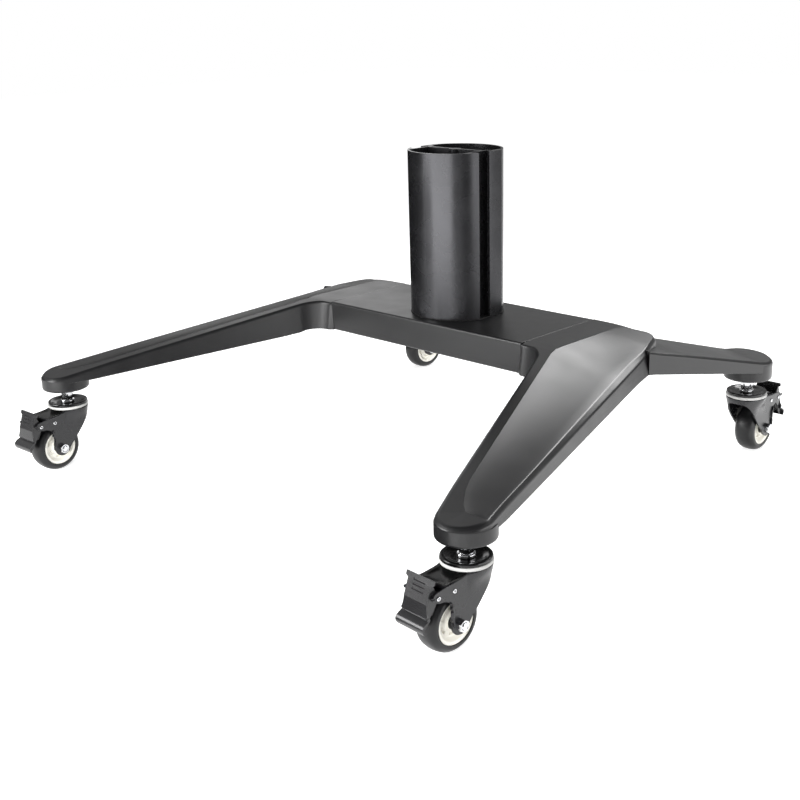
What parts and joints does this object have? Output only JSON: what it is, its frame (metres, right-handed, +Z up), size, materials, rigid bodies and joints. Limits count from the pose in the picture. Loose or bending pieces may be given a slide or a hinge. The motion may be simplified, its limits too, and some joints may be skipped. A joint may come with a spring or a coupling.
{
  "type": "tv cart",
  "caption": "Rolling tv cart base: two cast legs on a crossbar, four braked swivel casters, and the foot of a slotted aluminium column.",
  "frame": {"origin": "middle of the base's bounding box on the floor, with the casters as in the picture", "axes": "+X along the crossbar towards the cart's right leg as seen from the front, +Y towards the short rear legs, +Z up the column; the front of the cart, with the long legs, faces -Y"},
  "size_m": [0.8908, 0.8742, 0.4643],
  "materials": {
    "paint": "black satin powder coat on cast aluminium and on the steel crossbar",
    "anodised": "black anodised extrusion, satin",
    "gasket": "matt black",
    "steel": "zinc-plated steel",
    "chrome": "bright plated",
    "enamel": "gloss black",
    "ring": "light grey, satin",
    "fork": "charcoal, satin, on pressed steel",
    "tread": "satin black polyurethane",
    "hub": "cream",
    "pedal": "dark, satin, on pressed steel",
    "shoe": "matt black"
  },
  "bodies": {
    "base": {"leg_left": "paint", "leg_right": "paint", "crossbar": "paint", "column": "anodised", "column_gasket": "gasket", "column_bolt": "steel", "leg_bolt_left": "steel", "leg_bolt_right": "steel", "threaded_stem_front_left": "chrome", "top_disc_front_left": "enamel", "dust_ring_front_left": "ring", "ball_race_front_left": "steel", "threaded_stem_front_right": "chrome", "top_disc_front_right": "enamel", "dust_ring_front_right": "ring", "ball_race_front_right": "steel", "threaded_stem_rear_left": "chrome", "top_disc_rear_left": "enamel", "dust_ring_rear_left": "ring", "ball_race_rear_left": "steel", "threaded_stem_rear_right": "chrome", "top_disc_rear_right": "enamel", "dust_ring_rear_right": "ring", "ball_race_rear_right": "steel"},
    "caster_front_left": {"fork_front_left": "fork", "axle_bolt_front_left": "chrome", "axle_nut_front_left": "chrome", "pedal_rivet_front_left": "chrome", "fork_rivet_front_left": "chrome"},
    "wheel_front_left": {"tyre_front_left": "tread", "wheel_hub_front_left": "hub"},
    "brake_front_left": {"brake_pedal_front_left": "pedal", "brake_shoe_front_left": "shoe"},
    "caster_front_right": {"fork_front_right": "fork", "axle_bolt_front_right": "chrome", "axle_nut_front_right": "chrome", "pedal_rivet_front_right": "chrome", "fork_rivet_front_right": "chrome"},
    "wheel_front_right": {"tyre_front_right": "tread", "wheel_hub_front_right": "hub"},
    "brake_front_right": {"brake_pedal_front_right": "pedal", "brake_shoe_front_right": "shoe"},
    "caster_rear_left": {"fork_rear_left": "fork", "axle_bolt_rear_left": "chrome", "axle_nut_rear_left": "chrome", "pedal_rivet_rear_left": "chrome", "fork_rivet_rear_left": "chrome"},
    "wheel_rear_left": {"tyre_rear_left": "tread", "wheel_hub_rear_left": "hub"},
    "brake_rear_left": {"brake_pedal_rear_left": "pedal", "brake_shoe_rear_left": "shoe"},
    "caster_rear_right": {"fork_rear_right": "fork", "axle_bolt_rear_right": "chrome", "axle_nut_rear_right": "chrome", "pedal_rivet_rear_right": "chrome", "fork_rivet_rear_right": "chrome"},
    "wheel_rear_right": {"tyre_rear_right": "tread", "wheel_hub_rear_right": "hub"},
    "brake_rear_right": {"brake_pedal_rear_right": "pedal", "brake_shoe_rear_right": "shoe"}
  },
  "joints": [
    {"name": "swivel_front_left", "type": "hinge", "parent": "base", "child": "caster_front_left", "pos_m": [-0.4104, -0.34961, 0.09], "axis": [0, 0, 1], "continuous": true},
    {"name": "roll_front_left", "type": "hinge", "parent": "caster_front_left", "child": "wheel_front_left", "pos_m": [-0.40876, -0.38097, 0.0375], "axis": [0.9986, 0.0523, 0], "continuous": true},
    {"name": "brake_front_left", "type": "hinge", "parent": "caster_front_left", "child": "brake_front_left", "pos_m": [-0.4071, -0.41252, 0.0795], "axis": [0.9986, 0.0523, 0], "range_deg": [0, 14]},
    {"name": "swivel_front_right", "type": "hinge", "parent": "base", "child": "caster_front_right", "pos_m": [0.4104, -0.34961, 0.09], "axis": [0, 0, 1], "continuous": true},
    {"name": "roll_front_right", "type": "hinge", "parent": "caster_front_right", "child": "wheel_front_right", "pos_m": [0.40876, -0.38097, 0.0375], "axis": [0.9986, -0.0523, 0], "continuous": true},
    {"name": "brake_front_right", "type": "hinge", "parent": "caster_front_right", "child": "brake_front_right", "pos_m": [0.4071, -0.41252, 0.0795], "axis": [0.9986, -0.0523, 0], "range_deg": [0, 14]},
    {"name": "swivel_rear_left", "type": "hinge", "parent": "base", "child": "caster_rear_left", "pos_m": [-0.3526, 0.34909, 0.09], "axis": [0, 0, 1], "continuous": true},
    {"name": "roll_rear_left", "type": "hinge", "parent": "caster_rear_left", "child": "wheel_rear_left", "pos_m": [-0.34986, 0.38037, 0.0375], "axis": [-0.9962, 0.0872, 0], "continuous": true},
    {"name": "brake_rear_left", "type": "hinge", "parent": "caster_rear_left", "child": "brake_rear_left", "pos_m": [-0.34711, 0.41185, 0.0795], "axis": [-0.9962, 0.0872, 0], "range_deg": [0, 14]},
    {"name": "swivel_rear_right", "type": "hinge", "parent": "base", "child": "caster_rear_right", "pos_m": [0.3526, 0.34909, 0.09], "axis": [0, 0, 1], "continuous": true},
    {"name": "roll_rear_right", "type": "hinge", "parent": "caster_rear_right", "child": "wheel_rear_right", "pos_m": [0.35205, 0.38049, 0.0375], "axis": [-0.9998, -0.0175, 0], "continuous": true},
    {"name": "brake_rear_right", "type": "hinge", "parent": "caster_rear_right", "child": "brake_rear_right", "pos_m": [0.3515, 0.41208, 0.0795], "axis": [-0.9998, -0.0175, 0], "range_deg": [0, 14]}
  ]
}
